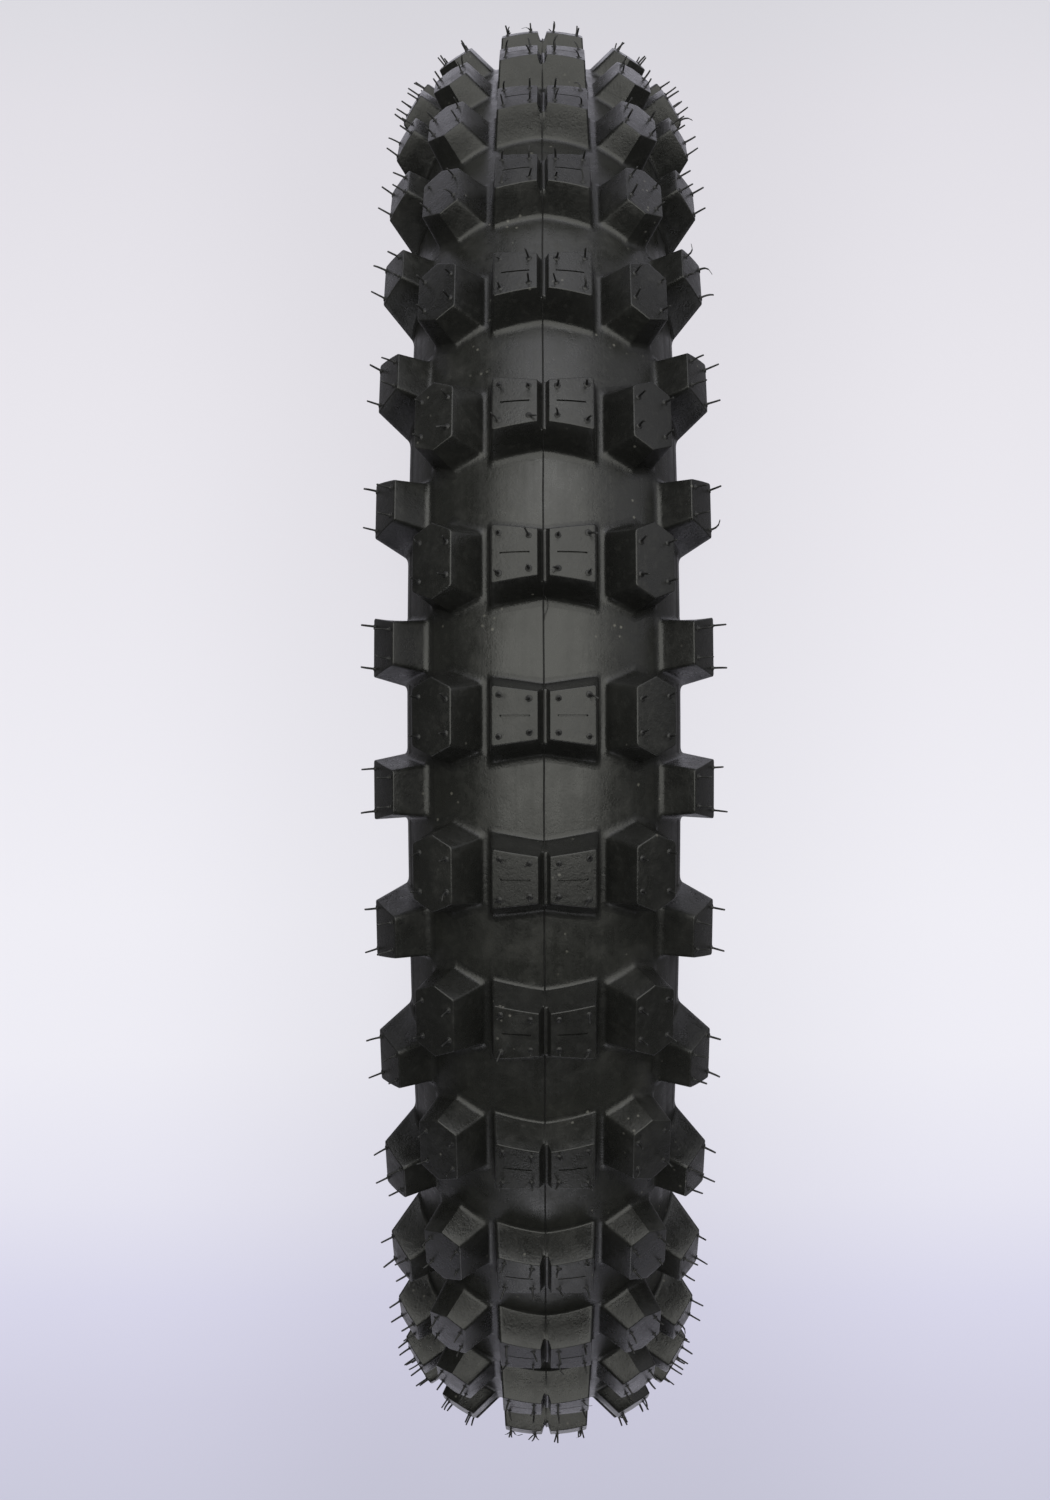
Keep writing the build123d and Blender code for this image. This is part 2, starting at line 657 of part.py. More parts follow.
with BuildPart() as mould_seam:
    add(round_tire(seam_piece.part.rotate(Axis.Y, SEAM_START)))
mould_seam.part.label = "mould_seam"
export_step(mould_seam.part, "parts/mould_seam.step")

# ---- rubber vent whiskers -----------------------------------------------------------------------------------------
VENT_GAP = 0.001
CENTRE_VENTS = [(5.0, 5.8), (5.0, -5.8), (15.5, 7.1), (15.5, -7.1)]
MID_VENTS = [(-5.5, 5.8), (-5.5, -5.8), (5.8, 6.9), (5.8, -6.9)]
EDGE_VENTS = [(2.6, 5.2), (2.6, -5.2), (13.1, 7.6), (13.1, -7.6)]


def top_plane(across, along):
    """Standing on the knob tops: across the tire in mm, and along it in mm from the row line."""
    lean = across / TOP_ARC
    reach = TOP_CENTRE + (TOP_ARC + VENT_GAP) * cos(lean)
    turn = along / reach
    return Plane(
        (reach * cos(turn), (TOP_ARC + VENT_GAP) * sin(lean), reach * sin(turn)),
        x_dir=(-sin(lean) * cos(turn), cos(lean), -sin(lean) * sin(turn)),
        z_dir=(cos(lean) * cos(turn), sin(lean), cos(lean) * sin(turn)),
    )


with BuildPart() as centre_vent_set:
    for side in (-1, 1):
        for across, along in CENTRE_VENTS:
            with BuildSketch(top_plane(side * across, along)):
                Circle(VENT_RADIUS)
    extrude(amount=VENT_LENGTH)

with BuildPart() as vents_centre:
    add(round_tire(centre_vent_set.part))
vents_centre.part.label = "vent_whiskers_centre"
export_step(vents_centre.part, "parts/vent_whiskers_centre.step")

MID_ACROSS = TOP_ARC * radians(MID_TILT)

for side, hand in ((1, "right"), (-1, "left")):
    with BuildPart() as mid_vent_set:
        for across, along in MID_VENTS:
            with BuildSketch(top_plane(side * (MID_ACROSS + across), along)):
                Circle(VENT_RADIUS)
        extrude(amount=VENT_LENGTH)

    with BuildPart() as vents_mid:
        add(round_tire(mid_vent_set.part))
    vents_mid.part.label = "vent_whiskers_intermediate_" + hand
    export_step(vents_mid.part, "parts/vent_whiskers_intermediate_" + hand + ".step")

    with BuildPart() as edge_vent_set:
        with BuildSketch(edge_plane(side).offset(VENT_GAP)):
            with Locations(*EDGE_VENTS):
                Circle(VENT_RADIUS)
        extrude(amount=EDGE_VENT_LENGTH)

    with BuildPart() as vents_edge:
        add(round_tire(edge_vent_set.part, PITCH / 2))
    vents_edge.part.label = "vent_whiskers_shoulder_" + hand
    export_step(vents_edge.part, "parts/vent_whiskers_shoulder_" + hand + ".step")
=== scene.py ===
import math
import random

import bmesh
import bpy
import numpy as np
from mathutils import Matrix, Vector


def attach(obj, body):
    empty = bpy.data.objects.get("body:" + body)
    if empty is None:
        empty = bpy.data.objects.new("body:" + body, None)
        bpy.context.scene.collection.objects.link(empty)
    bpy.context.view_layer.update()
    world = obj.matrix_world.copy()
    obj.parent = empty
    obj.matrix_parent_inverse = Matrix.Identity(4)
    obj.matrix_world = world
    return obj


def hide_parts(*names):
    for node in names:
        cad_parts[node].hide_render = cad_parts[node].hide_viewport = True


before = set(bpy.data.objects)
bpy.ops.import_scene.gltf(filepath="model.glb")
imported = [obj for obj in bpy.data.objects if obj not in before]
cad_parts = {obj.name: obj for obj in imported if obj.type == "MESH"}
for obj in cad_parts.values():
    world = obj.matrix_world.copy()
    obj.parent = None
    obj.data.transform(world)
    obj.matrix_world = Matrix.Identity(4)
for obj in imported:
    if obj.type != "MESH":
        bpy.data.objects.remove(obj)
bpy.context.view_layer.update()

random.seed(19)
MM = 0.001

# ---------------------------------------------------------------- tire section, in millimetres
ROWS = 38
PITCH = 2 * math.pi / ROWS
OUTER = 340.0
TOP_ARC = 75.0
CROWN_ARC = 60.0
CROWN_CENTRE = 267.0
FLOOR_R = CROWN_CENTRE + CROWN_ARC
SHOULDER_ARC = 40.0
SHOULDER_Y = 10.0
SHOULDER_Z = CROWN_CENTRE + 20.0 * math.cos(math.radians(30))
FLANK_ARC = 30.7
FLANK_Y = SHOULDER_Y + SHOULDER_ARC - FLANK_ARC
S_CROWN = CROWN_ARC * math.radians(30)
S_SIDE = S_CROWN + SHOULDER_ARC * math.radians(60)
S_FLANK = S_SIDE + FLANK_ARC * math.radians(60)
TREAD_END = S_CROWN + SHOULDER_ARC * math.radians(32)
INNER_STEP = S_CROWN + SHOULDER_ARC * math.radians(20)
KNEE = S_SIDE + FLANK_ARC * math.radians(40)

TREAD_THICK = 3.5
WALL_THICK = 4.7
LINER_OUTSIDE = 6.9
LINER_INSIDE = 8.0


def floor_point(s, depth=0.0):
    """The tread floor and sidewall surface: distance over the surface from the centre line -> (y, r)."""
    sign = 1.0 if s >= 0 else -1.0
    s = abs(s)
    if s <= S_CROWN:
        a = s / CROWN_ARC
        y, r = (CROWN_ARC - depth) * math.sin(a), CROWN_CENTRE + (CROWN_ARC - depth) * math.cos(a)
    elif s <= S_SIDE:
        a = math.radians(30) + (s - S_CROWN) / SHOULDER_ARC
        y = SHOULDER_Y + (SHOULDER_ARC - depth) * math.sin(a)
        r = SHOULDER_Z + (SHOULDER_ARC - depth) * math.cos(a)
    else:
        a = (s - S_SIDE) / FLANK_ARC
        y = FLANK_Y + (FLANK_ARC - depth) * math.cos(a)
        r = SHOULDER_Z - (FLANK_ARC - depth) * math.sin(a)
    return sign * y, r


def crown_point(t, depth=0.0):
    """The knob tops: distance over the top arc -> (y, r)."""
    a = t / TOP_ARC
    return (TOP_ARC - depth) * math.sin(a), OUTER - TOP_ARC + (TOP_ARC - depth) * math.cos(a)


def place(y, r, turn):
    """Section point and angle from the top of the tire -> metres."""
    return (-r * math.sin(turn) * MM, y * MM, r * math.cos(turn) * MM)


def add_mesh(name, verts, faces):
    mesh = bpy.data.meshes.new(name)
    mesh.from_pydata(verts, [], faces)
    mesh.validate()
    mesh.polygons.foreach_set("use_smooth", [True] * len(mesh.polygons))
    mesh.update()
    obj = bpy.data.objects.new(name, mesh)
    bpy.context.scene.collection.objects.link(obj)
    return obj


def tidy_normals(obj):
    bm = bmesh.new()
    bm.from_mesh(obj.data)
    bmesh.ops.recalc_face_normals(bm, faces=bm.faces)
    bm.to_mesh(obj.data)
    bm.free()
    obj.data.set_sharp_from_angle(angle=math.radians(42))
    return obj


def tube_faces(rings, around, base=0, closed=False):
    """The quads that join rings of points, each with the same number of points around."""
    faces = []
    for k in range(rings if closed else rings - 1):
        a, b = base + k * around, base + (k + 1) % rings * around
        for i in range(around):
            j = (i + 1) % around
            faces.append((a + i, a + j, b + j, b + i))
    return faces


def sweep(name, section, steps=ROWS * 12):
    """Turns a closed section of (y, r) points into a ring."""
    verts = [place(y, r, 2 * math.pi * k / steps) for k in range(steps) for y, r in section]
    obj = add_mesh(name, verts, tube_faces(steps, len(section), closed=True))
    obj.data.set_sharp_from_angle(angle=math.radians(38))
    return obj


def arc(fn, start, end, count, depth=0.0):
    return [fn(start + (end - start) * i / (count - 1), depth) for i in range(count)]


def flipped(points, side):
    return [(side * y, r) for y, r in points]


def bezier(p, q, r, t):
    return (1 - t) ** 2 * p + 2 * t * (1 - t) * q + t * t * r


# ---------------------------------------------------------------- knobs
class Knob:
    """One tread block: a bevelled top, drafted walls and a foot fillet that melts into the tread floor.

    keys: for lines across the knob, (top position, half length on top, floor position, foot length
    ahead, foot length behind).
    columns: where the mesh is cut across the knob, as (share of the way from the first key to the
    last, how far that line is sunk).
    rows: where it is cut along the knob, as (share of the half length, offset).
    sipe: (start, end, depth) of the short cut in the middle row.
    middle: the share at which the second of three keys stands.
    """

    SINK_TAPER = 0.115
    FOOT_CORNER = 1.8
    SIPE_HALF = 0.25
    MITRE_LIMIT = 0.6
    SKIRT_OUT = 0.02
    SKIRT_DEPTH = 0.6

    def __init__(self, keys, columns, rows, top, bevel, fillet, corner, rise, sipe=None, middle=0.5):
        self.keys = np.array(keys, float)
        self.key_shares = (0.0, middle, 1.0) if len(keys) == 3 else (0.0, 1.0)
        self.columns = columns
        self.rows = rows
        self.top = top
        self.bevel = bevel
        self.fillet = fillet
        self.corner = corner
        self.rise = rise
        self.sipe = sipe

    def line(self, share):
        return [float(np.interp(share, self.key_shares, column)) for column in self.keys.T]

    def top3(self, q, depth):
        y, r = self.top(q[0], depth)
        return np.array(place(y, r, q[1] / self.top(q[0], 0.0)[1]))

    def floor3(self, q, depth=0.0):
        y, r = floor_point(q[0], depth)
        return np.array(place(y, r, q[1] / floor_point(q[0])[1]))

    def grids(self):
        """The mesh points on the top and over the foot, and how far each top point is sunk."""
        b, t0, t1 = self.bevel, self.keys[0, 0], self.keys[-1, 0]
        top, foot, drop = {}, {}, {}
        for j, (share_across, sunk) in enumerate(self.columns):
            t, half, s, ahead, behind = self.line(share_across)
            t = t0 + b + (t1 - t0 - 2 * b) * (t - t0) / (t1 - t0)
            half = half - b + self.SINK_TAPER * sunk
            for i, (share, offset) in enumerate(self.rows):
                a = share * half + offset
                top[i, j] = np.array([t, a])
                foot[i, j] = np.array([s, a / half * (ahead if a > 0 else behind)])
                drop[i, j] = sunk
                if self.sipe and sunk == 0:
                    start, end, depth = self.sipe
                    if start <= abs(t) <= end and share == 0 and abs(offset) < self.SIPE_HALF:
                        drop[i, j] = depth
        return top, foot, drop

    def round_corners(self, pts, edge, c):
        """Pulls the edge points near each corner of the outline on to a curve of size c."""
        ni, nj = len(self.rows), len(self.columns)
        for ci, cj in ((0, 0), (0, nj - 1), (ni - 1, 0), (ni - 1, nj - 1)):
            corner = pts[ci, cj].copy()
            along_i = pts[ni // 2, cj] - corner
            along_j = pts[ci, nj // 2] - corner
            along_i, along_j = along_i / np.linalg.norm(along_i), along_j / np.linalg.norm(along_j)
            p, q = corner + along_i * c, corner + along_j * c
            for key in edge:
                d = pts[key] - corner
                di, dj = float(d @ along_i), float(d @ along_j)
                if key[1] == cj and 0 <= di < c:
                    pts[key] = bezier(p, corner, q, 0.5 * (1 - di / c))
                elif key[0] == ci and 0 <= dj < c:
                    pts[key] = bezier(q, corner, p, 0.5 * (1 - dj / c))

    def normals(self, pts, edge):
        """Outward directions at the edge points, longer where the outline turns."""
        out, m = [], len(edge)
        for k in range(m):
            before, here, after = pts[edge[k - 1]], pts[edge[k]], pts[edge[(k + 1) % m]]
            e1, e2 = here - before, after - here
            n1, n2 = np.array([e1[1], -e1[0]]), np.array([e2[1], -e2[0]])
            n1, n2 = n1 / (np.linalg.norm(n1) + 1e-9), n2 / (np.linalg.norm(n2) + 1e-9)
            n = n1 + n2
            n = n / (np.linalg.norm(n) + 1e-9)
            out.append(n / max(self.MITRE_LIMIT, float(n @ n1)))
        middle = sum(pts[e] for e in edge) / m
        turn = np.sign(sum(float(o @ (pts[e] - middle)) for o, e in zip(out, edge)))
        return [o * turn for o in out]

    def wall(self, top, sunk, n_top, foot, n_foot, inner):
        """The points down one line of the wall: bevel, wall, fillet and the skirt under the floor."""
        crest = self.top3(top + n_top * self.bevel, 0.0)
        foot_at = self.floor3(foot)
        down = foot_at - crest
        down = down / np.linalg.norm(down)
        crest = crest + down * sunk * MM
        low = crest + down * self.bevel * MM
        fillet = self.fillet(n_foot)
        heel = foot_at - down * self.rise(n_foot) * MM
        toe = self.floor3(foot + n_foot * fillet)
        skirt = self.floor3(foot + n_foot * (fillet + self.SKIRT_OUT), self.SKIRT_DEPTH)
        points = [bezier(inner, crest, low, t) for t in (0.3, 0.7, 1.0)]
        points += [low + (heel - low) * t for t in (0.33, 0.67, 1.0)]
        points += [bezier(heel, foot_at, toe, t) for t in (0.17, 0.34, 0.5, 0.67, 0.84, 1.0)]
        return points + [skirt]

    def build(self):
        nj, ni = len(self.columns), len(self.rows)
        top, foot, drop = self.grids()
        edge = [(0, j) for j in range(nj)] + [(i, nj - 1) for i in range(1, ni)]
        edge += [(ni - 1, j) for j in range(nj - 2, -1, -1)] + [(i, 0) for i in range(ni - 2, 0, -1)]
        m = len(edge)
        self.round_corners(top, edge, self.corner)
        self.round_corners(foot, edge, self.corner * self.FOOT_CORNER)

        verts = [self.top3(top[i, j], drop[i, j]) for i in range(ni) for j in range(nj)]
        faces = [
            (i * nj + j, i * nj + j + 1, (i + 1) * nj + j + 1, (i + 1) * nj + j)
            for i in range(ni - 1)
            for j in range(nj - 1)
        ]
        last = [i * nj + j for i, j in edge]
        n_top, n_foot = self.normals(top, edge), self.normals(foot, edge)
        walls = [
            self.wall(top[key], drop[key], n_top[k], foot[key], n_foot[k], verts[last[k]])
            for k, key in enumerate(edge)
        ]
        for ring in zip(*walls):
            base = len(verts)
            verts += ring
            for k in range(m):
                faces.append((last[k], last[(k + 1) % m], base + (k + 1) % m, base + k))
            last = [base + k for k in range(m)]
        tip = len(verts)
        verts.append(sum(verts[v] for v in last) / m)
        for k in range(m):
            faces.append((last[k], last[(k + 1) % m], tip))
        return np.array(verts), faces


def round_tire(name, verts, faces, first=0.0, side=1):
    """Puts the knob in every tread row of one side."""
    all_verts, all_faces = [], []
    n = len(verts)
    for k in range(ROWS):
        turn = first + k * PITCH
        c, s = math.cos(turn), math.sin(turn)
        x, y, z = verts.T
        all_verts += np.stack([x * c - z * s, y * side, x * s + z * c], 1).tolist()
        for face in faces:
            face = tuple(k * n + i for i in face)
            all_faces.append(face if side > 0 else face[::-1])
    return tidy_normals(add_mesh(name, all_verts, all_faces))


def flat_columns(shares):
    return [(share, 0.0) for share in shares]


# rows of cuts along a knob, the same on both sides of its middle
half_rows = [(-1, 0), (-0.97, 0), (-0.93, 0), (-0.85, 0), (-0.6, 0), (-0.3, 0)]
other_half = [(-share, 0) for share, _ in reversed(half_rows)]
plain_rows = half_rows + [(0, 0)] + other_half
SIPE_ROWS = [(0, -0.42), (0, -0.29), (0, -0.22), (0, 0), (0, 0.22), (0, 0.29), (0, 0.42)]

# centre knob: a bow tie cut in two by a slot, with one short straight sipe in each half
HALF_TOP = TOP_ARC * math.asin(17.9 / TOP_ARC)
HALF_LINE = (17.9, 17.6, 17.2, 16.4, 15.4, 15.0, 12.4, 10.0, 7.6, 5.2, 4.8, 3.6, 2.6, 2.25)
SLOT_WALL = [(2.05, 0.12), (1.93, 0.45), (1.22, 2.9), (0.98, 3.35)]
SLOT_FLOOR = [(-0.72, 3.8), (-0.5, 3.95), (-0.28, 3.8), (0.0, 3.4), (0.1, 3.3), (0.3, 3.27), (0.75, 3.3)]
half_cuts = [(t, 0.0) for t in HALF_LINE] + SLOT_WALL
centre_line = [(-t, d) for t, d in half_cuts] + SLOT_FLOOR + half_cuts[::-1]
centre_columns = [((HALF_TOP + t) / (2 * HALF_TOP), d) for t, d in centre_line]
centre_columns[0], centre_columns[-1] = (0.0, 0.0), (1.0, 0.0)
centre = Knob(
    keys=[
        (-HALF_TOP, 10.3, -19.15, 14.0, 15.9),
        (0.0, 7.9, 0.0, 11.1, 12.9),
        (HALF_TOP, 10.3, 19.15, 14.0, 15.9),
    ],
    columns=centre_columns,
    rows=half_rows + SIPE_ROWS + other_half,
    top=crown_point,
    bevel=0.3,
    fillet=lambda n: 1.1 + (1.1 if n[1] > 0 else 1.7) * n[1] ** 2,
    corner=0.7,
    rise=lambda n: 0.8 if n[1] > 0.5 else 0.8 + 1.0 * max(0.0, -n[1]),
    sipe=(5.1, 15.1, 0.85),
)

# intermediate knob: six-sided, leaning outwards
mid = Knob(
    keys=[
        (32.95, 10.1, 21.75, 11.8, 11.8),
        (40.78, 13.7, 33.5, 15.9, 15.9),
        (49.27, 10.0, 43.6, 12.0, 12.0),
    ],
    columns=flat_columns(
        (0.0, 0.02, 0.05, 0.12, 0.25, 0.38, 0.455, 0.48, 0.505, 0.58, 0.7, 0.85, 0.94, 0.98, 1.0)
    ),
    rows=plain_rows,
    top=crown_point,
    bevel=0.38,
    fillet=lambda n: 1.5 + 1.7 * abs(n[1]),
    corner=0.8,
    rise=lambda n: 1.2 + 1.0 * abs(n[1]),
    middle=0.48,
)

# shoulder knob: faces sideways, its outer wall runs down on to the sidewall
EDGE_IN = np.array([52.8, 317.3])
EDGE_OUT = np.array([60.6, 305.3])
EDGE_OUTWARD = np.array([math.sin(math.radians(57)), math.cos(math.radians(57))])
EDGE_CROWN = 0.35
EDGE_SPAN = float(np.linalg.norm(EDGE_OUT - EDGE_IN))


def edge_top(t, depth=0.0):
    """The slightly crowned shoulder top: distance out from its inner edge -> (y, r)."""
    t = t / EDGE_SPAN
    p = EDGE_IN + (EDGE_OUT - EDGE_IN) * t + EDGE_OUTWARD * (EDGE_CROWN * 4 * t * (1 - t) - depth)
    return float(p[0]), float(p[1])


shoulder = Knob(
    keys=[(0.0, 7.7, 45.7, 9.3, 9.3), (EDGE_SPAN, 10.7, 70.8, 11.9, 11.9)],
    columns=flat_columns((0.0, 0.02, 0.05, 0.12, 0.3, 0.5, 0.7, 0.88, 0.95, 0.98, 1.0)),
    rows=plain_rows,
    top=edge_top,
    bevel=0.42,
    fillet=lambda n: 1.7 + 0.8 * abs(n[1]) + 1.5 * max(0.0, -n[0]),
    corner=0.8,
    rise=lambda n: 1.4 + 0.6 * abs(n[1]) + 1.0 * max(0.0, -n[0]),
)

SIDES = ((1, "right"), (-1, "left"))
pieces = {"centre_knobs": round_tire("centre_knobs_visual", *centre.build())}
for family, knob, first in (("intermediate", mid, 0.0), ("shoulder", shoulder, PITCH / 2)):
    knob_mesh = knob.build()
    for side, hand in SIDES:
        node = "%s_knobs_%s" % (family, hand)
        pieces[node] = round_tire(node + "_visual", *knob_mesh, first, side)

# ---------------------------------------------------------------- rings
tread_section = arc(floor_point, -TREAD_END, TREAD_END, 97)
tread_section += arc(floor_point, TREAD_END, -TREAD_END, 49, TREAD_THICK)
pieces["tread_base"] = sweep("tread_base_visual", tread_section)

# raised rings on the sidewall: (distance over the surface, height, width)
WALL_RINGS = ((62.0, 0.3, 0.7), (78.0, 0.28, 0.55), (80.2, 0.28, 0.55), (82.4, 0.28, 0.55), (94.0, 0.4, 0.8))
WALL_STEPS = 110
RIB_HEIGHT = 0.9
RIB_SINK = 0.3
RIB_STEPS = 12
rib_at, rib_half = S_SIDE + FLANK_ARC * math.radians(51), FLANK_ARC * math.radians(3.0)

# the corner of the chafer's foot, its radius and the number of steps round it
HEEL_Y, HEEL_R, HEEL_ROUND, HEEL_STEPS = 25.3, 243.3, 2.0, 6

for side, hand in SIDES:
    wall = []
    for i in range(WALL_STEPS + 1):
        s = TREAD_END + (S_FLANK - TREAD_END) * i / WALL_STEPS
        raised = sum(height * math.exp(-(((s - at) / width) ** 2)) for at, height, width in WALL_RINGS)
        wall.append(floor_point(s, -raised))
    wall += [(31.6, 255.7), (29.9, 255.0), (28.6, 254.2), (27.7, 253.2), (27.3, 252.2)]
    wall += [(26.1, 252.6), (30.2, 257.6)]
    wall += arc(floor_point, KNEE, S_SIDE, 12, WALL_THICK)
    wall += arc(floor_point, S_SIDE, INNER_STEP, 14, WALL_THICK)[1:]
    wall += arc(floor_point, INNER_STEP, TREAD_END, 6, TREAD_THICK)
    pieces["sidewall_" + hand] = sweep("sidewall_%s_visual" % hand, flipped(wall, side))

    rib = []
    for i in range(RIB_STEPS + 1):
        x = -1 + 2 * i / RIB_STEPS
        rib.append(floor_point(rib_at + rib_half * x, -RIB_HEIGHT * (1 - abs(x) ** 3)))
    rib += arc(floor_point, rib_at + rib_half, rib_at - rib_half, 5, RIB_SINK)
    pieces["rim_line_" + hand] = sweep("rim_line_%s_visual" % hand, flipped(rib, side))

    heel = []
    for i in range(HEEL_STEPS + 1):
        a = math.radians(90 * i / HEEL_STEPS)
        heel.append((HEEL_Y + HEEL_ROUND * math.cos(a), HEEL_R - HEEL_ROUND * math.sin(a)))
    cuff = [(27.3, 252.2), (27.3, 249.0), (27.3, 246.0)] + heel + [(21.0, 241.3), (16.3, 241.3)]
    cuff += [(15.6, 241.5), (15.2, 242.0), (15.1, 242.6), (15.1, 248.6), (15.3, 249.4), (16.3, 250.2)]
    cuff += [(16.3, 242.5), (26.1, 242.5), (26.1, 252.6)]
    pieces["chafer_" + hand] = sweep("chafer_%s_visual" % hand, flipped(cuff, side))

liner_out = arc(floor_point, -KNEE, KNEE, 121, LINER_OUTSIDE)
liner_in = arc(floor_point, KNEE, -KNEE, 121, LINER_INSIDE)
right_foot = [(17.3, 251.5), (17.3, 242.5), (16.3, 242.5), (16.3, 252.0)]
liner = liner_out + right_foot + liner_in + flipped(right_foot, -1)[::-1]
pieces["inner_liner"] = sweep("inner_liner_visual", liner)

# ---------------------------------------------------------------- mould parting line
# a thin fin round the tread floor, up the knob walls and along the slots
SLOT_R = 336.6
FIN_ROOT = -0.15
# the fin's section: (across, share of its height, start height)
FIN = [(-0.33, 0.0, FIN_ROOT), (-0.26, 0.4, 0.0), (-0.04, 1.0, 0.0)]
FIN += [(-y, share, start) for y, share, start in reversed(FIN)]


def seam_climb(end, foot, toe):
    """From the middle of a slot, out over its end, down the wall and along: (along, radius, height)."""
    line = [(4.0, SLOT_R, 0.3), (end, SLOT_R, 0.3)]
    for u in (0.04, 0.5, 0.9):
        line.append((end + (foot - end) * u, SLOT_R + (FLOOR_R + 0.9 - SLOT_R) * u, 0.3))
    line += [(foot + 0.3, FLOOR_R + 0.35, 0.4), ((foot + toe) / 2, FLOOR_R + 0.1, 0.5)]
    return line + [(toe, FLOOR_R, 0.6)]


line = [(-a, r, h) for a, r, h in reversed(seam_climb(8.8, 12.8, 15.6))] + [(0.0, SLOT_R, 0.3)]
line += seam_climb(8.3, 11.0, 13.3) + [(FLOOR_R * PITCH / 2 - 1.5, FLOOR_R, 0.7)]
path = []
for row in range(ROWS):
    for a, r, h in line:
        turn = row * PITCH + a / FLOOR_R
        drift = 0.12 * math.sin(turn * 47.0) * math.sin(turn * 9.0)
        path.append((turn, r, h * (1.0 + 0.25 * math.sin(turn * 61.0)), drift))
seam_verts = []
for k, (turn, r, high, drift) in enumerate(path):
    before, after = path[k - 1], path[(k + 1) % len(path)]
    along = Vector(place(0, after[1], after[0])) - Vector(place(0, before[1], before[0]))
    out = along.cross(Vector((0, 1, 0))).normalized()
    if out.dot(Vector(place(0, 1, turn))) < 0:
        out.negate()
    at = Vector(place(drift, r, turn))
    for y, share, start in FIN:
        level = share * high + start
        seam_verts.append(at + Vector((0, y, 0)) * MM + out * level * MM)
seam_faces = tube_faces(len(path), len(FIN), closed=True)

# one torn flap of flash beside the line
FLAP_STEPS = 12
flap_base = len(seam_verts)
for i in range(FLAP_STEPS + 1):
    u = i / FLAP_STEPS
    turn = math.radians(7.35 - 1.45 * u)
    y = 0.3 + 1.35 * math.sin(math.pi * min(1.0, 1.2 * u)) * (1 - 0.3 * u)
    high = 1.5 - 0.7 * u
    for dy, r in ((-0.09, FIN_ROOT), (-0.07, high), (0.07, high), (0.09, FIN_ROOT)):
        seam_verts.append(Vector(place(y + dy, FLOOR_R + r, turn)))
seam_faces += tube_faces(FLAP_STEPS + 1, 4, flap_base)
flap_end = flap_base + FLAP_STEPS * 4
seam_faces += [tuple(flap_base + i for i in (3, 2, 1, 0)), tuple(flap_end + i for i in range(4))]
pieces["mould_seam"] = tidy_normals(add_mesh("mould_seam_visual", seam_verts, seam_faces))


# ---------------------------------------------------------------- vent whiskers
# (share of the length, thickness there): a collar at the foot, a long thin hair, a rounded tip
HAIR = [(0.0, 3.3), (0.03, 2.7), (0.06, 1.6), (0.1, 1.15)]
HAIR += [(0.22, 1.0), (0.45, 0.97), (0.7, 0.93), (0.97, 0.85), (1.0, 0.4)]
HAIR_SIDES = 8
ODD_ONES = 0.05


def whisker(verts, faces, foot, up, lean, length, thick, tilt, bend):
    """A thin rubber hair that leans at its foot and bends along its length."""
    other = np.cross(up, lean)
    base = len(verts)
    for share, scale in HAIR:
        drift = tilt * min(1.0, share * 6) + bend * share * share
        centre = foot + (up * math.cos(drift) + lean * math.sin(drift)) * share * length * MM
        for k in range(HAIR_SIDES):
            a = 2 * math.pi * k / HAIR_SIDES
            verts.append(centre + (lean * math.cos(a) + other * math.sin(a)) * thick * scale * MM)
    faces += tube_faces(len(HAIR), HAIR_SIDES, base)
    faces.append(tuple(base + k for k in reversed(range(HAIR_SIDES))))
    faces.append(tuple(base + (len(HAIR) - 1) * HAIR_SIDES + k for k in range(HAIR_SIDES)))


def whiskers(name, spots, top, first, side, reach, slant):
    """Whiskers at the spots (across, along) of every knob; the odd one is strongly bent or torn short."""
    verts, faces = [], []
    for row in range(ROWS):
        for t, a in spots:
            y, r = top(t, 0.05)
            y1, r1 = top(t, -1.0)
            turn = first + row * PITCH + a / r
            foot = np.array(place(side * y, r, turn))
            out = np.array(place(side * y1, r1, turn)) - foot
            out = out / np.linalg.norm(out)
            round_dir = np.array(place(0, 1, turn + math.pi / 2))
            round_dir = round_dir / np.linalg.norm(round_dir)
            across = np.cross(out, round_dir)
            angle = random.uniform(0, 2 * math.pi)
            lean = round_dir * math.cos(angle) + across * math.sin(angle)
            lean = lean / np.linalg.norm(lean)
            tilt = abs(random.gauss(0, slant))
            bent = random.random() >= 1 - ODD_ONES
            bend = random.uniform(0.4, 0.9) if bent else random.gauss(0, 0.4 * slant)
            torn = random.random() >= 1 - ODD_ONES
            length = reach * (random.uniform(0.35, 0.75) if torn else random.gauss(1.0, 0.05))
            whisker(verts, faces, foot, out, lean, length, random.uniform(0.35, 0.42), tilt, bend)
    return add_mesh(name, [tuple(p) for p in verts], faces)


centre_spots = [(x, y) for x in (5.0, -5.0) for y in (5.8, -5.8)]
centre_spots += [(x, y) for x in (15.5, -15.5) for y in (7.1, -7.1)]
mid_spots = [(35.0, 5.8), (35.0, -5.8), (46.3, 6.9), (46.3, -6.9)]
edge_spots = [(2.6, 5.2), (2.6, -5.2), (13.1, 7.6), (13.1, -7.6)]
whisker_sets = [("centre", centre_spots, crown_point, 0.0, 1, 4.5, 0.42)]
for side, hand in SIDES:
    whisker_sets.append(("intermediate_" + hand, mid_spots, crown_point, 0.0, side, 4.7, 0.22))
    whisker_sets.append(("shoulder_" + hand, edge_spots, edge_top, PITCH / 2, side, 5.6, 0.07))
for where, *details in whisker_sets:
    node = "vent_whiskers_" + where
    pieces[node] = whiskers(node + "_visual", *details)


# ---------------------------------------------------------------- materials
def nodes_of(name):
    mat = bpy.data.materials.new(name)
    mat.use_nodes = True
    tree = mat.node_tree
    return mat, tree, tree.nodes["Principled BSDF"]


